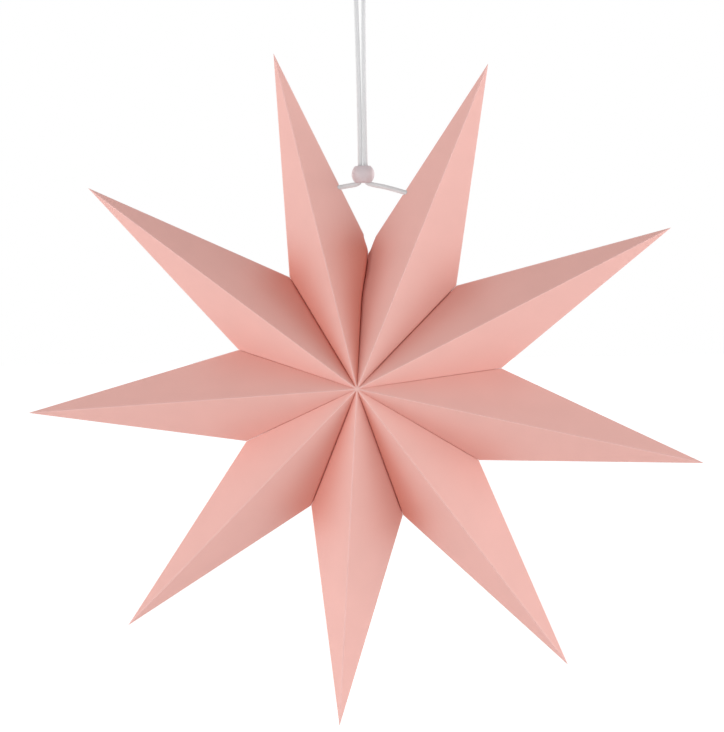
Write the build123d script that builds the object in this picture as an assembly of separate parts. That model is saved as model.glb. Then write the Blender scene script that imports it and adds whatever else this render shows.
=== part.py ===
from build123d import *
from math import cos, pi, radians, sin, tan
import os

# Folded card star lantern with nine points, hung on a doubled cord that a bead draws together.
# Millimetres, +X right, +Z up, front towards -Y. The origin is the hang point: the inside top of
# the cord's loop. The tips of all points lie in the plane Y = 0.

# Star
star_drop = 185.0
tip_radius = 150.0
seam_radius = 59.3
centre_depth = 32.0
hub_radius = 0.9
card = 0.35

# Each point stands at its own angle, because a star opened by hand is never quite even.
# Degrees, anticlockwise from +X as seen from the front: point 1 at the top left, then clockwise.
point_angles = (104.8, 68.15, 26.6, 346.4, 305.0, 264.6, 224.4, 183.8, 143.95)
# Each seam is on the anticlockwise side of the point with the same place in the list.
seam_angles = (124.5, 89.2, 46.8, 6.2, 325.6, 284.4, 244.6, 203.8, 163.5)

# The seam at the top is open. Its two free panels touch near the middle and part at their corners.
open_seam = 1
open_seam_gap = 0.3
open_touch_radius = 57.7
left_corner_radius = 66.7
left_corner_angle = 91.0
right_corner_radius = 66.9
right_corner_angle = 86.1

# Lap along the back ridge, glued to the inside of the sheet's other edge
flap_width = 8.0

# Cord, doubled through the bead and knotted inside the two end points
cord_diameter = 2.0
strand_gap = 0.2
cord_hole_clearance = 0.5
cord_hole_depth = 5.0
knot_diameter = 4.4
knot_length = 4.2
knot_chamfer = 1.15

# Bead
bead_diameter = 10.0
bead_height = 6.6
bead_drop = 92.1
bead_clearance = 0.15
bead_mouth_radius = 1.2
bead_bore_radius = cord_diameter + strand_gap / 2 + bead_clearance

# Route of the cord's centre line in X and Z, from the left knot up round the loop and back down
cord_route = (
    (-13.10, -98.20),
    (-6.50, -97.00),
    (-2.30, -96.45),
    (-1.10, -94.90),
    (-1.10, -59.60),
    (-1.62, -15.80),
    (-2.20, 1.00),
    (2.20, 1.00),
    (1.62, -15.80),
    (1.10, -59.60),
    (1.10, -94.90),
    (2.30, -96.45),
    (11.00, -98.05),
    (19.85, -101.01),
)
loop_corners = (6, 7)
loop_radius = 2.1
arc_share = 0.45

star_centre = Vector(0, 0, -star_drop)
front_centre = star_centre + Vector(0, -centre_depth, 0)
back_centre = star_centre + Vector(0, centre_depth, 0)


def on_star(radius, angle):
    """A place in the plane of the tips, given from the star's centre."""
    return star_centre + Vector(radius * cos(radians(angle)), 0, radius * sin(radians(angle)))


left_corner = on_star(left_corner_radius, left_corner_angle)
right_corner = on_star(right_corner_radius, right_corner_angle)


def wall_plane(a, b, c, inside):
    """The plane through three places, facing away from a place inside the wall."""
    normal = (b - a).cross(c - a).normalized()
    if normal.dot(inside - a) > 0:
        normal = -normal
    return Plane(origin=a, z_dir=normal)


def side_walls(tip, seam, corner, inside):
    """Back facet, front facet and glue panel on one side of a point, as planes.

    At the open seam the side crease ends in a corner off the seam, and the card bends from there
    back to the panel.
    """
    foot = on_star(seam_radius, seam_angles[seam])
    panel = wall_plane(front_centre, back_centre, foot, inside)
    if corner is None:
        return [
            wall_plane(back_centre, tip, foot, inside),
            wall_plane(front_centre, tip, foot, inside),
            panel,
        ]
    touch = on_star(open_touch_radius, seam_angles[seam])
    return [
        wall_plane(back_centre, tip, corner, inside),
        wall_plane(front_centre, tip, corner, inside),
        wall_plane(back_centre, corner, touch, inside),
        wall_plane(front_centre, corner, touch, inside),
        panel.offset(-open_seam_gap / 2),
    ]


def space_behind(walls, inset):
    """The space behind every wall, once each is moved inwards by inset."""
    space = Pos(star_centre) * Box(3 * tip_radius, 3 * centre_depth, 3 * tip_radius)
    for wall in walls:
        space = split(space, bisect_by=wall.offset(-inset), keep=Keep.BOTTOM)
    return space


def glue_flap(hollow, back_facet, tip, foot):
    """The lap inside a point, one card thick, from the back ridge to its free edge."""
    along_ridge = tip - back_centre
    away = back_facet.z_dir.cross(along_ridge).normalized()
    if away.dot(foot - back_centre) < 0:
        away = -away
    free_edge = Plane(origin=back_centre + away * flap_width, z_dir=away)
    flap = split(hollow, bisect_by=back_facet.offset(-2 * card), keep=Keep.TOP)
    return split(flap, bisect_by=free_edge, keep=Keep.BOTTOM)


def folded_point(index):
    """One card sheet, folded into a hollow point and lapped along its back ridge."""
    angle = point_angles[index]
    tip = on_star(tip_radius, angle)
    inside = on_star(seam_radius / 2, angle)
    left_seam = index
    right_seam = (index + 1) % len(seam_angles)
    left_end = right_corner if left_seam == open_seam else None
    right_end = left_corner if right_seam == open_seam else None
    left = side_walls(tip, left_seam, left_end, inside)
    right = side_walls(tip, right_seam, right_end, inside)
    hollow = space_behind(left + right, card)
    flap = glue_flap(hollow, left[0], tip, on_star(seam_radius, seam_angles[left_seam]))
    hub_edge = Plane(origin=on_star(hub_radius, angle), z_dir=(star_centre - tip).normalized())
    outside = split(space_behind(left + right, 0), bisect_by=hub_edge, keep=Keep.BOTTOM)
    return outside - (hollow - flap)


def place_on_cord(place, towards):
    """A place of the cord's route as a plane that faces along the cord to another place."""
    start = Vector(cord_route[place][0], 0, cord_route[place][1])
    end = Vector(cord_route[towards][0], 0, cord_route[towards][1])
    return Plane(origin=start, z_dir=end - start)


def cord_hole(knot_place, next_place):
    """Round hole along the cord's last run, through the side crease of an end point."""
    drill = Cylinder(cord_diameter / 2 + cord_hole_clearance, 2 * cord_hole_depth)
    return place_on_cord(knot_place, next_place) * drill


def stopper_knot(knot_place, next_place):
    """Plain barrel for a knot, flat where the cord goes into it."""
    knot = Cylinder(knot_diameter / 2, knot_length)
    knot = chamfer(knot.edges().filter_by(GeomType.CIRCLE), knot_chamfer)
    return place_on_cord(knot_place, next_place) * Pos(0, 0, -knot_length / 2) * knot


def cord_radii(places):
    """Radius of the bend at each inner place of the route."""
    radii = []
    for number in range(1, len(places) - 1):
        run_in = places[number] - places[number - 1]
        run_out = places[number + 1] - places[number]
        half_turn = radians(run_in.get_angle(run_out) / 2)
        radius = arc_share * min(run_in.length, run_out.length) / tan(half_turn)
        radii.append(loop_radius if number in loop_corners else radius)
    return radii


def hanging_cord():
    """One cord, as straight runs joined by tangent arcs."""
    places = [Vector(x, 0, z) for x, z in cord_route]
    radii = cord_radii(places)
    centre_line = FilletPolyline(*places, radius=radii)
    section = Plane(origin=centre_line @ 0, z_dir=centre_line % 0) * Circle(cord_diameter / 2)
    cord = sweep(section, path=centre_line)
    section_area = pi * cord_diameter**2 / 4
    print("cord radii", [round(radius, 2) for radius in radii])
    print("cord length", round(centre_line.length, 2))
    print("cord volume over section times length", cord.volume / (section_area * centre_line.length))
    return cord


def drilled_bead():
    """Round bead with flattened ends and a bore for both strands, eased at its mouths."""
    end_face = Plane.XY.offset(bead_height / 2)
    bead = split(Sphere(bead_diameter / 2), bisect_by=end_face, keep=Keep.BOTTOM)
    bead = split(bead, bisect_by=Plane.XY.offset(-bead_height / 2), keep=Keep.TOP)
    bead = bead - Cylinder(bead_bore_radius, bead_height)
    face_radius = (bead_diameter**2 / 4 - bead_height**2 / 4) ** 0.5
    mouth_radius = min(bead_mouth_radius, 0.85 * (face_radius - bead_bore_radius))
    mouths = bead.edges().filter_by(GeomType.CIRCLE).filter_by(
        lambda edge: abs(edge.radius - bead_bore_radius) < card / 10
    )
    return Pos(0, 0, -bead_drop) * fillet(mouths, mouth_radius)


last = len(cord_route) - 1
parts = {f"point_{index + 1}": folded_point(index) for index in range(len(point_angles))}
parts["point_1"] = parts["point_1"] - cord_hole(0, 1)
parts["point_2"] = parts["point_2"] - cord_hole(last, last - 1)
parts["hanging_cord"] = hanging_cord()
parts["left_knot"] = stopper_knot(0, 1)
parts["right_knot"] = stopper_knot(last, last - 1)
parts["bead"] = drilled_bead()

os.makedirs("parts", exist_ok=True)
for node, shape in parts.items():
    export_step(shape, f"parts/{node}.step")
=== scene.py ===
from math import cos, pi, radians, sin, tau

import bmesh
import bpy
import numpy as np
from mathutils import Matrix, Vector


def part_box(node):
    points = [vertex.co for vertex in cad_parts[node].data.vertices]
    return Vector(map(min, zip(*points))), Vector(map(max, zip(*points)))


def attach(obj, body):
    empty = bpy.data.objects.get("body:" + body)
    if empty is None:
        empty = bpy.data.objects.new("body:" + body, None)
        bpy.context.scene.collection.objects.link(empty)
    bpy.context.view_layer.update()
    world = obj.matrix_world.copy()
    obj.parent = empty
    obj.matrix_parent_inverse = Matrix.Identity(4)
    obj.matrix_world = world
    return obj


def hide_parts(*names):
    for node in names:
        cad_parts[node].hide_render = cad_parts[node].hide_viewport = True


# Nine-pointed folded card star, hung on a doubled cord with a bead. Metres, +X right, +Z up,
# front towards -Y, and the origin at the inside top of the cord's loop.

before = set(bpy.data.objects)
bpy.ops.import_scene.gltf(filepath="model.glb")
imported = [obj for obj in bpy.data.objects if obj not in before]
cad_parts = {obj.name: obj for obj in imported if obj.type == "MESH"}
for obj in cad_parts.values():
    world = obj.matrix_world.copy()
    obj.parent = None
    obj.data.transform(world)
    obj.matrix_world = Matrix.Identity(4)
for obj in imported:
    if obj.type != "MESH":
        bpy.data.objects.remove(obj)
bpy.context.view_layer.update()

MM = 0.001

# Star, as in the CAD
STAR_DROP = 185 * MM
TIP_RADIUS = 150 * MM
SEAM_RADIUS = 59.3 * MM
CENTRE_DEPTH = 32 * MM
CARD = 0.35 * MM
POINT_ANGLES = (104.8, 68.15, 26.6, 346.4, 305.0, 264.6, 224.4, 183.8, 143.95)
SEAM_ANGLES = (124.5, 89.2, 46.8, 6.2, 325.6, 284.4, 244.6, 203.8, 163.5)
OPEN_SEAM = 1
OPEN_SEAM_GAP = 0.3 * MM
OPEN_TOUCH_RADIUS = 57.7 * MM
LEFT_CORNER = (66.7 * MM, 91.0)
RIGHT_CORNER = (66.9 * MM, 86.1)

# Cord, on its route in the CAD from the left knot up round the loop and back down. X and Z, in
# millimetres.
CORD_DIAMETER = 2.0 * MM
CORD_ROUTE = (
    (-13.10, -98.20),
    (-6.50, -97.00),
    (-2.30, -96.45),
    (-1.10, -94.90),
    (-1.10, -59.60),
    (-1.62, -15.80),
    (-2.20, 1.00),
    (2.20, 1.00),
    (1.62, -15.80),
    (1.10, -59.60),
    (1.10, -94.90),
    (2.30, -96.45),
    (11.00, -98.05),
    (19.85, -101.01),
)

# Where the star in the photo strays from the CAD, in millimetres right and up
HUB_STRAY = (-1.25, -0.2)
TIP_STRAYS = (
    (-0.3, 2.0),
    (0.1, 1.1),
    (0.45, -0.1),
    (1.6, -0.7),
    (0.5, -1.1),
    (-0.8, -1.2),
    (-1.4, -0.15),
    (-1.9, 0.0),
    (-1.25, 1.2),
)
FOOT_STRAYS = (
    (0.2, -0.4),
    (-0.9, 0.5),
    (-0.3, 0.15),
    (0.55, 0.4),
    (0.0, 0.0),
    (0.2, 0.2),
    (-0.25, 0.9),
    (0.3, 0.15),
    (0.25, -0.15),
)
LEFT_CORNER_STRAY = (1.0, 0.0)
RIGHT_CORNER_STRAY = (1.45, 0.1)

STAR_CENTRE = Vector((0, 0, -STAR_DROP))


def strayed(place, stray):
    """A place moved by a stray, which lies in the plane of the tips."""
    return place + Vector((stray[0], 0, stray[1])) * MM


def on_star(radius, angle, stray=(0, 0)):
    """A place in the plane of the tips, given from the star's centre."""
    place = STAR_CENTRE + Vector((radius * cos(radians(angle)), 0, radius * sin(radians(angle))))
    return strayed(place, stray)


HUB = strayed(STAR_CENTRE, HUB_STRAY)
FRONT_CENTRE = np.array(HUB + Vector((0, -CENTRE_DEPTH, 0)))
BACK_CENTRE = np.array(HUB + Vector((0, CENTRE_DEPTH, 0)))


# Helpers


def add_object(name, data):
    """An object in the scene, made from its data."""
    made = bpy.data.objects.new(name, data)
    bpy.context.scene.collection.objects.link(made)
    return made


def add_mesh(name, vertices, faces, material, body):
    """A smooth mesh piece that rides on a body."""
    mesh = bpy.data.meshes.new(name)
    mesh.from_pydata([tuple(vertex) for vertex in vertices], [], faces)
    mesh.validate()
    mesh.materials.append(material)
    mesh.polygons.foreach_set("use_smooth", [True] * len(mesh.polygons))
    piece = add_object(name, mesh)
    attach(piece, body)
    return piece


def grid_faces(rows, columns, looped=False):
    """Quads of a grid of vertices laid out row by row.

    Each row is closed on itself. A looped grid also joins its last row to its first.
    """
    faces = []
    for row in range(rows if looped else rows - 1):
        here = row * columns
        there = (row + 1) % rows * columns
        for column in range(columns):
            after = (column + 1) % columns
            faces.append((here + column, here + after, there + after, there + column))
    return faces


def unit(vector):
    """A vector of length 1 in the same direction, or no length where there is none."""
    length = np.linalg.norm(vector)
    return vector / length if length > 0 else vector


def route_place(number):
    """A place of the cord's route, in metres."""
    x, z = CORD_ROUTE[number]
    return x * MM, 0, z * MM


# Camera

CAMERA_AZIMUTH = 5.573
CAMERA_ELEVATION = 1.835
CAMERA_ROLL = -1.05
CAMERA_DISTANCE = 1.5
CAMERA_LENS = 167.72
CAMERA_ASIDE = -2.122 * MM
CAMERA_RAISED = 8.663 * MM
CAMERA_SENSOR = 36
CLIP_START = 0.05
CLIP_END = 60


def add_camera():
    """Camera at the photograph's viewing angle."""
    azimuth, elevation, roll = (
        radians(angle) for angle in (CAMERA_AZIMUTH, CAMERA_ELEVATION, CAMERA_ROLL)
    )
    back = Vector((
        sin(azimuth) * cos(elevation),
        -cos(azimuth) * cos(elevation),
        sin(elevation),
    ))
    level = Vector((cos(azimuth), sin(azimuth), 0))
    upright = back.cross(level)
    if upright.z < 0:
        upright = -upright
    across = cos(roll) * level + sin(roll) * upright
    up = cos(roll) * upright - sin(roll) * level
    camera = add_object("camera", bpy.data.cameras.new("camera"))
    camera.data.lens = CAMERA_LENS
    camera.data.sensor_width = CAMERA_SENSOR
    camera.data.clip_start = CLIP_START
    camera.data.clip_end = CLIP_END
    place = STAR_CENTRE + CAMERA_DISTANCE * back + CAMERA_ASIDE * across + CAMERA_RAISED * up
    turn = Matrix((across, up, back)).transposed()
    camera.matrix_world = Matrix.Translation(place) @ turn.to_4x4()
    bpy.context.scene.camera = camera


# Cord

CORD_CURVE_STEPS = 24
CORD_SIDES = 32
CORD_STEP = 0.25 * MM
BRAID_STRANDS = 8
BRAID_PITCH = 6.4 * MM
BRAID_RELIEF = 0.08
BRAID_CROWN = 1.05
BRAID_FULLNESS = 0.7


def cord_line():
    """The cord's centre line, read from the smooth spline on its route."""
    curve = bpy.data.curves.new("cord_line", "CURVE")
    curve.dimensions = "3D"
    curve.resolution_u = CORD_CURVE_STEPS
    spline = curve.splines.new("NURBS")
    spline.points.add(len(CORD_ROUTE) - 1)
    for number, point in enumerate(spline.points):
        point.co = (*route_place(number), 1)
    spline.order_u = 3
    spline.use_endpoint_u = True
    guide = add_object("cord_line", curve)
    bpy.context.view_layer.update()
    mesh = bpy.data.meshes.new_from_object(guide)
    line = [vertex.co.copy() for vertex in mesh.vertices]
    bpy.data.objects.remove(guide)
    return line


def along(line, step):
    """Places and directions on a line, evenly spaced by about a step."""
    points = np.array([tuple(point) for point in line])
    lengths = np.linalg.norm(np.diff(points, axis=0), axis=1)
    reached = np.concatenate(([0], np.cumsum(lengths)))
    count = int(reached[-1] / step) + 1
    wanted = np.linspace(0, reached[-1], count)
    places = np.stack([np.interp(wanted, reached, points[:, axis]) for axis in range(3)], axis=1)
    directions = np.gradient(places, axis=0)
    directions /= np.linalg.norm(directions, axis=1)[:, None]
    return wanted, places, directions


def braid_radius(turn, distance):
    """Radius of a round braid: strands wind both ways and take turns to lie on top."""
    lay = tau * distance / BRAID_PITCH
    half = BRAID_STRANDS / 2
    one_way = np.abs(np.cos(half * (turn + lay) / 2))
    other_way = np.abs(np.cos(half * (turn - lay) / 2))
    on_top = 0.5 + 0.5 * np.cos(half * turn) * np.cos(half * lay)
    crown = on_top * one_way + (1 - on_top) * other_way
    return CORD_DIAMETER / 2 * (BRAID_CROWN - BRAID_RELIEF * (1 - crown**BRAID_FULLNESS))


def cord_mesh(name, line, material):
    """Braided tube along a line in the plane Y = 0, closed at both ends."""
    reached, places, directions = along(line, CORD_STEP)
    turns = np.linspace(0, tau, CORD_SIDES, endpoint=False)
    aside = np.stack([-directions[:, 2], directions[:, 1], directions[:, 0]], axis=1)
    across = np.array((0.0, 1.0, 0.0))
    vertices = []
    for distance, place, side in zip(reached, places, aside):
        radius = braid_radius(turns, distance)[:, None]
        ring = place + radius * (np.cos(turns)[:, None] * side + np.sin(turns)[:, None] * across)
        vertices.extend(ring)
    faces = grid_faces(len(places), CORD_SIDES)
    faces.append(tuple(range(CORD_SIDES)))
    faces.append(tuple(reversed(range(len(vertices) - CORD_SIDES, len(vertices)))))
    return add_mesh(name, vertices, faces, material, "star")


# Card points

RIDGE_ROUNDING = 0.45 * MM
SIDE_ROUNDING = 0.35 * MM
BEND_ROUNDING = 0.6 * MM

# Rounding of the fold into the glue panel, in millimetres, for the point on the clockwise and
# then the anticlockwise side of each seam
VALLEY_ROUNDINGS = (
    (1.7, 1.7),
    (1.7, 2.8),
    (1.7, 1.5),
    (0.35, 0.35),
    (0.45, 0.45),
    (1.8, 1.4),
    (1.4, 1.8),
    (0.45, 0.45),
    (0.4, 0.4),
)

# A valley grows to its full rounding over a fifth of the way out from the hub, and shrinks again
# over the last eighth.
VALLEY_GROWTH = 5
VALLEY_FADE = 8

# Largest share of an edge that a rounding may take
CORNER_SHARE = 0.3

# How far the hubs are pressed flat
HUB_FLAT = 0.6 * MM

# Mouth of the open seam: how far its skin is pushed and how wide the push is in degrees. Then
# where it starts, is full, fades and ends, in millimetres from the star's centre.
MOUTH_PUSH = 1.7 * MM
MOUTH_WIDTH = 9
MOUTH_START = 36
MOUTH_FULL = 58
MOUTH_FADE = 58.5
MOUTH_END = 66.5

GLUE_LINE = 0.05 * MM
CORNER_STEPS = 5
FACET_STEPS = 16
PANEL_STEPS = 3
ROW_COUNT = 56
SIDE_CREASE_SHARES = (0.17, 0.33, 0.5)

# Slow waves in the facets: their height, how many radians each turns through over a facet, and
# how the phase differs from facet to facet
WAVE_HEIGHT = 0.12 * MM
LONG_WAVE = 7
SHORT_WAVE_OUT = 5
SHORT_WAVE_ACROSS = 11
SHORT_WAVE_SHARE = 0.6
PHASE_BY_POINT = 2.4
PHASE_BY_SIDE = 1.7
PHASE_BY_DEPTH = 100

# Three shares that add up to 1 have a product of one 27th at most.
BUBBLE_GAIN = 27

# Deeper colour beside each seam: how far it reaches, as a share of the distance from the hub,
# and how deep it is on each side of each seam, in the order of the roundings above. It stands
# for light that is thrown from card to card, and is set from the photograph.
# Painted shade: beside each seam the card's colour is made deeper and redder, as shade and light
# thrown from card to card make it in the valleys.
SEAM_SHADE_REACH = 0.2
SEAM_SHADE_DEPTHS = (
    (0.85, 0.8),
    (0.65, 1.0),
    (0.5, 0.4),
    (0.22, 0.22),
    (0.22, 0.42),
    (0.55, 0.95),
    (0.75, 0.75),
    (0.25, 0.18),
    (0.22, 0.33),
)
# Width of the lighter colour along the folds: partly crease whitening, partly a painted highlight
CREASE_REACH = 0.4 * MM
MERGE_DISTANCE = 0.001 * MM


def eased(count):
    """Shares from 0 to 1, closer together at both ends."""
    return (1 - np.cos(np.linspace(0, pi, count))) / 2


def rounded_row(corners, roundings, steps):
    """Points round a closed row.

    Each corner has its own rounding, and the edge after it its own count of steps.
    """
    count = len(corners)
    starts = []
    ends = []
    for number, corner in enumerate(corners):
        before = corners[number - 1] - corner
        after = corners[(number + 1) % count] - corner
        longest_before = CORNER_SHARE * np.linalg.norm(before)
        longest_after = CORNER_SHARE * np.linalg.norm(after)
        starts.append(corner + unit(before) * min(roundings[number], longest_before))
        ends.append(corner + unit(after) * min(roundings[number], longest_after))
    row = []
    for number, corner in enumerate(corners):
        for share in np.linspace(0, 1, CORNER_STEPS):
            arms = (1 - share) ** 2 * starts[number] + share**2 * ends[number]
            row.append(arms + 2 * share * (1 - share) * corner)
        following = starts[(number + 1) % count]
        for share in eased(steps[number] + 2)[1:-1]:
            row.append(ends[number] + share * (following - ends[number]))
    return np.array(row)


def point_rows(tip, outlines, valleys):
    """Rows of a point's outer skin, from the star's axis to the point's outline.

    Each row starts at the front ridge and runs down the left side, across the left glue panel to
    the back ridge and up the right side. The left and then the right side has its outline, whose
    places lead from its side crease to its glue panel, and the rounding of its valley. All of it
    is even about the plane of the tips, so the last rows, which round the side crease, come from
    flipping the front onto the back.
    """
    left_outline, right_outline = outlines
    path = [(FRONT_CENTRE, tip)]
    path += [(FRONT_CENTRE, place) for place in left_outline]
    path += [(BACK_CENTRE, place) for place in left_outline[::-1]]
    path += [(BACK_CENTRE, tip)]
    path += [(BACK_CENTRE, place) for place in right_outline]
    path += [(FRONT_CENTRE, place) for place in right_outline[::-1]]
    steps = []
    for outline in outlines:
        steps += [FACET_STEPS] + [PANEL_STEPS] * (2 * len(outline) - 1) + [FACET_STEPS]
    nose = 1 - SIDE_ROUNDING / np.linalg.norm(tip - FRONT_CENTRE)
    rows = []
    for share in [*(nose * eased(ROW_COUNT)), 1]:
        swell = min(1, VALLEY_GROWTH * share) * min(1, VALLEY_FADE * (1 - share)) ** 0.5
        roundings = []
        for outline, valley in zip(outlines, valleys):
            side = [swell * valley] + [BEND_ROUNDING] * (len(outline) - 1)
            roundings += [RIDGE_ROUNDING] + side + side[::-1]
        corners = [apex + share * (place - apex) for apex, place in path]
        rows.append(rounded_row(corners, roundings, steps))
    rim = rows.pop()
    front_to_back = np.array((1, -1, 1))
    last_row = rows[-1]
    for share in SIDE_CREASE_SHARES:
        arms = (1 - share) ** 2 * last_row + share**2 * last_row * front_to_back
        rows.append(arms + 2 * share * (1 - share) * rim)
    return rows


def wave(points, apex, tip, foot, phase):
    """Moves the points of one flat facet in and out by the slow waves that handled card has."""
    normal = unit(np.cross(tip - apex, foot - apex))
    if normal.dot(apex - np.array(STAR_CENTRE)) < 0:
        normal = -normal
    facet_axes = np.stack([tip - apex, foot - apex, normal], axis=1)
    to_tip, to_foot, off = np.linalg.solve(facet_axes, (points - apex).T)
    inside = (np.abs(off) < MERGE_DISTANCE) & (to_tip > 0) & (to_foot > 0) & (to_tip + to_foot < 1)
    bubble = np.clip(BUBBLE_GAIN * to_tip * to_foot * (1 - to_tip - to_foot), 0, 1) ** 2
    short_turn = SHORT_WAVE_ACROSS * to_foot - SHORT_WAVE_OUT * to_tip + 2 * phase
    ripple = np.sin(LONG_WAVE * to_tip + phase) + SHORT_WAVE_SHARE * np.sin(short_turn)
    points += (inside * bubble * ripple * WAVE_HEIGHT)[:, None] * normal


def away_from(points, start, end):
    """How far points are from a straight line between two places, and how far along it."""
    line = end - start
    along_line = np.clip((points - start) @ line / line.dot(line), 0, 1)
    return np.linalg.norm(points - start - along_line[:, None] * line, axis=1), along_line


def seam_shade_share(points, outlines, shade_depths):
    """Painted shade by each glued seam, from how near a place is to it against the facet's width
    there.
    """
    flat = points * np.array((1, 0, 1))
    centre = np.array(HUB)
    shares = []
    for outline, depth in zip(outlines, shade_depths):
        away, reached = away_from(flat, centre, outline[-1])
        width = SEAM_SHADE_REACH * reached * SEAM_RADIUS + CARD
        shares.append(depth * np.exp(-((away / width) ** 2)))
    return np.max(shares, axis=0)


def crease_wear_and_highlight_share(points, tip, outlines):
    """How near each place is to a fold that stands out, for its crease whitening and painted
    highlight.
    """
    ends = [FRONT_CENTRE, BACK_CENTRE] + [outline[0] for outline in outlines]
    away = np.min([away_from(points, end, tip)[0] for end in ends], axis=0)
    return np.exp(-((away / CREASE_REACH) ** 2))


def side_walls(tip, outline, inset):
    """Facets, bends and glue panel on one side of a point, with the inset of the hollow."""
    walls = []
    for apex in (FRONT_CENTRE, BACK_CENTRE):
        walls.append((apex, tip, outline[0], inset))
        if len(outline) > 1:
            walls.append((apex, outline[0], outline[1], inset))
    walls.append((FRONT_CENTRE, BACK_CENTRE, outline[-1], inset))
    return walls


def inner_skin(walls, inside):
    """The hollow of a point behind its walls, as vertices and faces that face inwards.

    A wall is the plane through three places, and its inset is how far behind it the hollow is.
    """
    hollow = bmesh.new()
    bmesh.ops.create_cube(hollow, size=4 * TIP_RADIUS)
    bmesh.ops.translate(hollow, verts=hollow.verts, vec=STAR_CENTRE)
    for a, b, c, inset in walls:
        normal = (Vector(b) - Vector(a)).cross(Vector(c) - Vector(a)).normalized()
        if normal.dot(inside - Vector(a)) > 0:
            normal = -normal
        bmesh.ops.bisect_plane(
            hollow,
            geom=hollow.verts[:] + hollow.edges[:] + hollow.faces[:],
            plane_co=Vector(a) - inset * normal,
            plane_no=normal,
            clear_outer=True,
        )
        rim = [edge for edge in hollow.edges if edge.is_boundary]
        bmesh.ops.holes_fill(hollow, edges=rim, sides=0)
    bmesh.ops.recalc_face_normals(hollow, faces=hollow.faces)
    hollow.verts.index_update()
    vertices = np.array([tuple(vertex.co) for vertex in hollow.verts])
    faces = [tuple(vertex.index for vertex in reversed(face.verts)) for face in hollow.faces]
    hollow.free()
    return vertices, faces


def side_outline(seam, corner, angle):
    """Places from a side crease to its glue panel.

    A glued seam has its foot alone. The open seam has its corner and the place where it bends.
    """
    radius = SEAM_RADIUS if corner is None else OPEN_TOUCH_RADIUS
    gap = GLUE_LINE if corner is None else OPEN_SEAM_GAP / 2
    foot = on_star(radius, SEAM_ANGLES[seam], FOOT_STRAYS[seam])
    aside = on_star(radius, angle) - foot
    foot += gap * aside.normalized()
    if corner is None:
        return [np.array(foot)]
    return [np.array(corner), np.array(foot)]


def pushed(points):
    """The places with those near the open seam's mouth moved right, where the panels lean over."""
    away = points - np.array(STAR_CENTRE)
    radius = np.hypot(away[:, 0], away[:, 2]) / MM
    angle = np.degrees(np.arctan2(away[:, 2], away[:, 0]))
    near = np.exp(-(((angle - SEAM_ANGLES[OPEN_SEAM]) / MOUTH_WIDTH) ** 2))
    rise = np.clip((radius - MOUTH_START) / (MOUTH_FULL - MOUTH_START), 0, 1)
    fall = np.clip((MOUTH_END - radius) / (MOUTH_END - MOUTH_FADE), 0, 1)
    share = near * rise**2 * (3 - 2 * rise) * fall**2 * (3 - 2 * fall)
    return points + (MOUTH_PUSH * share)[:, None] * np.array((1.0, 0.0, 0.0))


def add_marks(piece, marks):
    """Shares for the material to read. They belong to the outer skin, and the hollow has none."""
    for name, shares in marks.items():
        values = np.zeros(len(piece.data.vertices), dtype=np.float32)
        values[: len(shares)] = shares
        attribute = piece.data.attributes.new(name, "FLOAT", "POINT")
        attribute.data.foreach_set("value", values)


def close_skin(piece):
    """Joins the rows where they meet, and drops what has shrunk to nothing."""
    mesh = bmesh.new()
    mesh.from_mesh(piece.data)
    bmesh.ops.remove_doubles(mesh, verts=mesh.verts, dist=MERGE_DISTANCE)
    bmesh.ops.dissolve_degenerate(mesh, edges=mesh.edges, dist=MERGE_DISTANCE / 10)
    mesh.to_mesh(piece.data)
    mesh.free()


def card_point(index, material):
    """One hollow point of folded card.

    The corners are named by where they stand at the open seam, so the right one ends the left
    side of its point.
    """
    angle = POINT_ANGLES[index]
    tip = np.array(on_star(TIP_RADIUS, angle, TIP_STRAYS[index]))
    left_seam = index
    right_seam = (index + 1) % len(SEAM_ANGLES)
    left_corner = on_star(*RIGHT_CORNER, RIGHT_CORNER_STRAY) if left_seam == OPEN_SEAM else None
    right_corner = on_star(*LEFT_CORNER, LEFT_CORNER_STRAY) if right_seam == OPEN_SEAM else None
    outlines = (
        side_outline(left_seam, left_corner, angle),
        side_outline(right_seam, right_corner, angle),
    )
    valleys = (VALLEY_ROUNDINGS[left_seam][0] * MM, VALLEY_ROUNDINGS[right_seam][1] * MM)
    shade_depths = (SEAM_SHADE_DEPTHS[left_seam][0], SEAM_SHADE_DEPTHS[right_seam][1])
    rows = point_rows(tip, outlines, valleys)
    skin = np.concatenate(rows)
    for side, outline in enumerate(outlines):
        for apex in (FRONT_CENTRE, BACK_CENTRE):
            phase = PHASE_BY_POINT * index + PHASE_BY_SIDE * side + PHASE_BY_DEPTH * apex[1]
            wave(skin, apex, tip, outline[0], phase)
    # The seam mark is painted shade. The crease mark is crease whitening with a painted highlight.
    marks = {
        "seam": seam_shade_share(skin, outlines, shade_depths),
        "crease": crease_wear_and_highlight_share(skin, tip, outlines),
    }
    skin[:, 1] = np.clip(skin[:, 1], HUB_FLAT - CENTRE_DEPTH, CENTRE_DEPTH - HUB_FLAT)
    skin = pushed(skin)
    left_inset = CARD + MOUTH_PUSH if left_seam == OPEN_SEAM else CARD
    walls = side_walls(tip, outlines[0], left_inset) + side_walls(tip, outlines[1], CARD)
    hollow, hollow_faces = inner_skin(walls, on_star(SEAM_RADIUS / 2, angle))
    faces = grid_faces(len(rows), len(rows[0]))
    faces += [tuple(len(skin) + corner for corner in face) for face in hollow_faces]
    name = f"card_point_{index + 1}"
    piece = add_mesh(name, [*skin, *hollow], faces, material, "star")
    add_marks(piece, marks)
    close_skin(piece)
    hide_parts(f"point_{index + 1}")
    return piece


# Cord holes, which fit the cord more closely than those of the CAD

CORD_HOLE_DIAMETER = 2.4 * MM
CORD_HOLE_DEPTH = 10 * MM
CORD_HOLE_SIDES = 32


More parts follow.
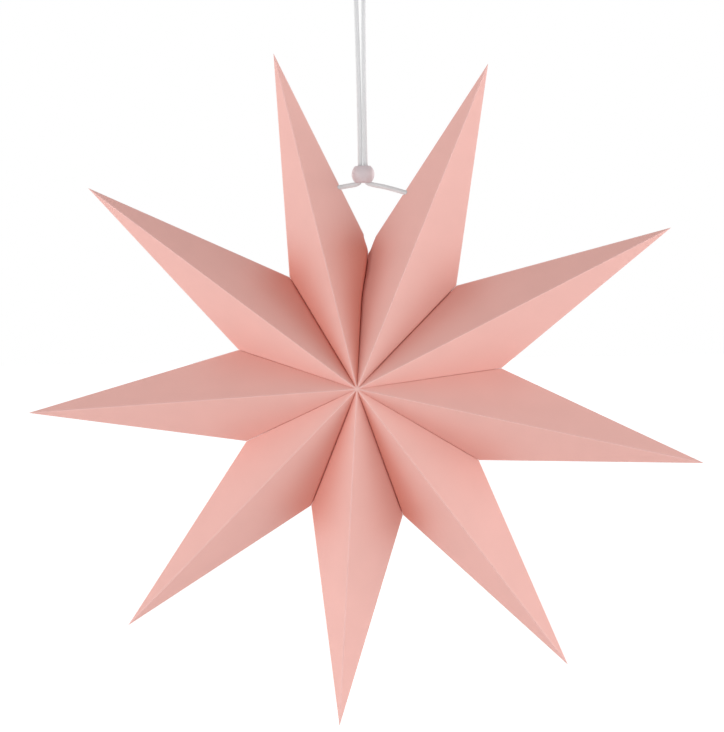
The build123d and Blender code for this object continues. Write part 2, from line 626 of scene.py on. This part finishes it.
def drill_cord_hole(piece, place, towards):
    """Round hole through the side crease, along the cord's last run."""
    start = Vector(route_place(place))
    end = Vector(route_place(towards))
    mesh = bmesh.new()
    bmesh.ops.create_cone(
        mesh,
        cap_ends=True,
        segments=CORD_HOLE_SIDES,
        radius1=CORD_HOLE_DIAMETER / 2,
        radius2=CORD_HOLE_DIAMETER / 2,
        depth=CORD_HOLE_DEPTH,
    )
    data = bpy.data.meshes.new("drill")
    mesh.to_mesh(data)
    mesh.free()
    drill = add_object("drill", data)
    drill.rotation_mode = "QUATERNION"
    drill.rotation_quaternion = (end - start).to_track_quat("Z", "Y")
    drill.location = start
    cut = piece.modifiers.new("cord_hole", "BOOLEAN")
    cut.operation = "DIFFERENCE"
    cut.object = drill
    bpy.context.view_layer.update()
    drilled = piece.evaluated_get(bpy.context.evaluated_depsgraph_get())
    made = bpy.data.meshes.new_from_object(drilled)
    piece.modifiers.clear()
    piece.data = made
    bpy.data.objects.remove(drill)


# Knots

KNOT_DIAMETER = 4.3 * MM
KNOT_FLAT = 1.9 * MM
KNOT_STRAND = 1.5 * MM
KNOT_STEPS = 96
KNOT_SIDES = 16

# The line of a knot is a trefoil, which reaches this many units out from its axis.
TREFOIL_REACH = 3


def knot(name, place, towards, material):
    """Tight overhand knot behind the card, where the cord ends."""
    start = np.array(route_place(place))
    end = np.array(route_place(towards))
    axis = unit(end - start)
    side = np.array((-axis[2], 0, axis[0]))
    across = np.array((0.0, 1.0, 0.0))
    centre = start - KNOT_FLAT * axis
    reach = (KNOT_DIAMETER - KNOT_STRAND) / 2 / TREFOIL_REACH
    rise = KNOT_FLAT - KNOT_STRAND / 2
    turns = np.linspace(0, tau, KNOT_STEPS, endpoint=False)
    line = (
        centre
        + reach * (np.sin(turns) + 2 * np.sin(2 * turns))[:, None] * side
        + reach * (np.cos(turns) - 2 * np.cos(2 * turns))[:, None] * across
        - rise * np.sin(3 * turns)[:, None] * axis
    )
    directions = np.roll(line, -1, axis=0) - np.roll(line, 1, axis=0)
    vertices = []
    for point, direction in zip(line, directions):
        outward = unit(np.cross(direction, axis))
        upward = unit(np.cross(outward, direction))
        for turn in np.linspace(0, tau, KNOT_SIDES, endpoint=False):
            vertices.append(point + KNOT_STRAND / 2 * (cos(turn) * outward + sin(turn) * upward))
    faces = grid_faces(KNOT_STEPS, KNOT_SIDES, looped=True)
    return add_mesh(name, vertices, faces, material, "star")


# Bead

BEAD_RADIUS = 5.0 * MM
BEAD_HALF = 3.7 * MM
BEAD_DROP = 92.15 * MM
BEAD_BORE = 2.25 * MM
BEAD_MOUTH = 3.05 * MM
BEAD_MOUTH_DEPTH = 1.3 * MM
BEAD_SIDES = 64
BEAD_STEPS = 24
BEAD_MOUTH_STEPS = 8


def bead_profile():
    """Radius and height round the bead's section: down the outside, then in and up the bore."""
    widest = np.arcsin(BEAD_HALF / BEAD_RADIUS)
    swept = np.linspace(widest, -widest, BEAD_STEPS)
    outside = [(BEAD_RADIUS * cos(turn), BEAD_RADIUS * sin(turn)) for turn in swept]
    flare = BEAD_MOUTH - BEAD_BORE
    foot = [
        (BEAD_BORE + flare * (1 - sin(turn)), -BEAD_HALF + BEAD_MOUTH_DEPTH * (1 - cos(turn)))
        for turn in np.linspace(0, pi / 2, BEAD_MOUTH_STEPS)
    ]
    return outside + foot + [(radius, -height) for radius, height in reversed(foot)]


def bead_mesh(name, material):
    """Round bead with its bore flared at both mouths."""
    profile = bead_profile()
    vertices = []
    for turn in np.linspace(0, tau, BEAD_SIDES, endpoint=False):
        for radius, height in profile:
            vertices.append((radius * cos(turn), radius * sin(turn), height - BEAD_DROP))
    faces = grid_faces(BEAD_SIDES, len(profile), looped=True)
    return add_mesh(name, vertices, faces, material, "slider")


# Materials

CARD_COLOUR = (0.86, 0.485, 0.435)
# Painted shade in the valleys beside the seams
SEAM_SHADE_COLOUR = (0.74, 0.25, 0.19)
# Lighter colour along the folds: partly crease whitening, partly a painted highlight
CREASE_WEAR_AND_HIGHLIGHT_COLOUR = (0.88, 0.53, 0.49)
CORD_COLOUR = (0.78, 0.78, 0.79)
BEAD_COLOUR = (0.70, 0.60, 0.62)
RAMP_ENDS = (0.3, 0.7)


def new_material(name, colour, roughness):
    """A material with its shader, and its nodes and links."""
    material = bpy.data.materials.new(name)
    material.use_nodes = True
    material.diffuse_color = (*colour, 1)
    shader = material.node_tree.nodes["Principled BSDF"]
    shader.inputs["Base Color"].default_value = (*colour, 1)
    shader.inputs["Roughness"].default_value = roughness
    return material, shader, material.node_tree.nodes, material.node_tree.links


def noise(nodes, links, scale, detail):
    """Noise in object space, with a scale in features per metre."""
    place = nodes.new("ShaderNodeTexCoord")
    texture = nodes.new("ShaderNodeTexNoise")
    texture.inputs["Scale"].default_value = scale
    texture.inputs["Detail"].default_value = detail
    links.new(place.outputs["Object"], texture.inputs["Vector"])
    return texture.outputs["Fac"]


def tinted(nodes, links, factor, colour, dark, light):
    """A colour that a factor varies between a dark and a light share of it."""
    ramp = nodes.new("ShaderNodeValToRGB")
    for element, position, share in zip(ramp.color_ramp.elements, RAMP_ENDS, (dark, light)):
        element.position = position
        element.color = (*[channel * share for channel in colour], 1)
    links.new(factor, ramp.inputs["Fac"])
    return ramp.outputs["Color"]


def add_bump(nodes, links, shader, height, strength, distance):
    """Fine relief from a height, by its strength and its depth in metres."""
    bump = nodes.new("ShaderNodeBump")
    bump.inputs["Strength"].default_value = strength
    bump.inputs["Distance"].default_value = distance
    links.new(height, bump.inputs["Height"])
    links.new(bump.outputs["Normal"], shader.inputs["Normal"])


def card_material():
    """Matte dyed card with a fine tooth, painted shade at the seams, whitened folds with painted
    highlight.
    """
    material, shader, nodes, links = new_material("card", CARD_COLOUR, roughness=0.72)
    shader.inputs["Specular IOR Level"].default_value = 0.4
    cloud = noise(nodes, links, scale=60, detail=4)
    colour = tinted(nodes, links, cloud, CARD_COLOUR, dark=0.985, light=1.015)
    # Painted shade beside the seams, then along the folds crease whitening with a painted
    # highlight
    for name, other in (("seam", SEAM_SHADE_COLOUR), ("crease", CREASE_WEAR_AND_HIGHLIGHT_COLOUR)):
        place = nodes.new("ShaderNodeAttribute")
        place.attribute_name = name
        blend = nodes.new("ShaderNodeMix")
        blend.data_type = "RGBA"
        blend.inputs["B"].default_value = (*other, 1)
        links.new(place.outputs["Fac"], blend.inputs["Factor"])
        links.new(colour, blend.inputs["A"])
        colour = blend.outputs["Result"]
    links.new(colour, shader.inputs["Base Color"])
    tooth = noise(nodes, links, scale=3200, detail=5)
    add_bump(nodes, links, shader, tooth, strength=0.12, distance=0.06 * MM)
    return material


def cord_material():
    """White polyester cord."""
    material, shader, nodes, links = new_material("cord", CORD_COLOUR, roughness=0.7)
    shader.inputs["Sheen Weight"].default_value = 0.2
    fibres = noise(nodes, links, scale=4200, detail=3)
    colour = tinted(nodes, links, fibres, CORD_COLOUR, dark=0.96, light=1.03)
    links.new(colour, shader.inputs["Base Color"])
    add_bump(nodes, links, shader, fibres, strength=0.3, distance=0.08 * MM)
    return material


def bead_material():
    """Satin moulded plastic, slightly milky."""
    material, shader, nodes, links = new_material("bead", BEAD_COLOUR, roughness=0.42)
    cloud = noise(nodes, links, scale=240, detail=3)
    colour = tinted(nodes, links, cloud, BEAD_COLOUR, dark=0.97, light=1.02)
    links.new(colour, shader.inputs["Base Color"])
    unevenness = noise(nodes, links, scale=900, detail=2)
    add_bump(nodes, links, shader, unevenness, strength=0.05, distance=0.05 * MM)
    return material


# Stage

FLOOR_DROP = 0.30
FLOOR_SIZE = 30.0
FLOOR_COLOUR = (0.86, 0.86, 0.86)
FLOOR_GLOW = 0.68
WORLD_LIGHT = 0.48
LAMP_SIZE = 1.0
LAMPS = (
    ("left_box", (-1.3, -0.1, -STAR_DROP), 3.0),
    ("left_front_box", (-1.2, -1.0, -STAR_DROP), 7.9),
    ("left_back_box", (-1.2, 1.0, -STAR_DROP), 7.0),
    ("right_box", (1.3, -0.1, -STAR_DROP), 7.6),
    ("right_front_box", (1.2, -1.0, -STAR_DROP), 3.4),
    ("right_back_box", (1.2, 1.0, -STAR_DROP), 7.0),
)


def add_stage():
    """Pale floor below the star, lit to white for the camera alone."""
    low = min(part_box(node)[0].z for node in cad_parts)
    mesh = bpy.data.meshes.new("floor")
    half = FLOOR_SIZE / 2
    level = low - FLOOR_DROP
    corners = [
        (-half, -half, level),
        (half, -half, level),
        (half, half, level),
        (-half, half, level),
    ]
    mesh.from_pydata(corners, [], [(0, 1, 2, 3)])
    floor = add_object("floor", mesh)
    material, shader, nodes, links = new_material("floor", FLOOR_COLOUR, roughness=0.9)
    glow = nodes.new("ShaderNodeEmission")
    path = nodes.new("ShaderNodeLightPath")
    total = nodes.new("ShaderNodeAddShader")
    seen = nodes.new("ShaderNodeMath")
    seen.operation = "MULTIPLY"
    seen.inputs[1].default_value = FLOOR_GLOW
    links.new(path.outputs["Is Camera Ray"], seen.inputs[0])
    links.new(seen.outputs["Value"], glow.inputs["Strength"])
    links.new(shader.outputs["BSDF"], total.inputs[0])
    links.new(glow.outputs["Emission"], total.inputs[1])
    links.new(total.outputs["Shader"], nodes["Material Output"].inputs["Surface"])
    mesh.materials.append(material)


def add_lamp(name, place, power):
    """Soft box that faces the star."""
    lamp = bpy.data.lights.new(name, "AREA")
    lamp.size = LAMP_SIZE
    lamp.energy = power
    holder = add_object(name, lamp)
    holder.location = place
    holder.rotation_mode = "QUATERNION"
    holder.rotation_quaternion = (Vector(place) - STAR_CENTRE).to_track_quat("Z", "Y")
    holder.visible_camera = False


def add_world():
    """Even light all round, and white behind the star."""
    world = bpy.data.worlds.new("world")
    world.use_nodes = True
    bpy.context.scene.world = world
    nodes = world.node_tree.nodes
    links = world.node_tree.links
    around = nodes["Background"]
    around.inputs["Color"].default_value = (1, 1, 1, 1)
    around.inputs["Strength"].default_value = WORLD_LIGHT
    white = nodes.new("ShaderNodeBackground")
    white.inputs["Color"].default_value = (1, 1, 1, 1)
    path = nodes.new("ShaderNodeLightPath")
    sees_white = path.outputs["Is Camera Ray"]
    for ray in ("Is Glossy Ray", "Is Transmission Ray"):
        either = nodes.new("ShaderNodeMath")
        either.operation = "MAXIMUM"
        links.new(sees_white, either.inputs[0])
        links.new(path.outputs[ray], either.inputs[1])
        sees_white = either.outputs["Value"]
    mix = nodes.new("ShaderNodeMixShader")
    links.new(sees_white, mix.inputs["Fac"])
    links.new(around.outputs["Background"], mix.inputs[1])
    links.new(white.outputs["Background"], mix.inputs[2])
    links.new(mix.outputs["Shader"], nodes["World Output"].inputs["Surface"])


# The model

add_camera()
bpy.context.scene.view_settings.view_transform = "Standard"

card = card_material()
white_cord = cord_material()
milky = bead_material()

line = cord_line()
cord = cord_mesh("cord", line, white_cord)
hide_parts("hanging_cord")
last = len(CORD_ROUTE) - 1
left_knot = knot("knot_left", 0, 1, white_cord)
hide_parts("left_knot")
right_knot = knot("knot_right", last, last - 1, white_cord)
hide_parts("right_knot")
bead = bead_mesh("round_bead", milky)
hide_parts("bead")

for index in range(len(POINT_ANGLES)):
    piece = card_point(index, card)
    if index == OPEN_SEAM - 1:
        drill_cord_hole(piece, 0, 1)
    if index == OPEN_SEAM:
        drill_cord_hole(piece, last, last - 1)

add_stage()
add_world()
for name, place, power in LAMPS:
    add_lamp(name, place, power)
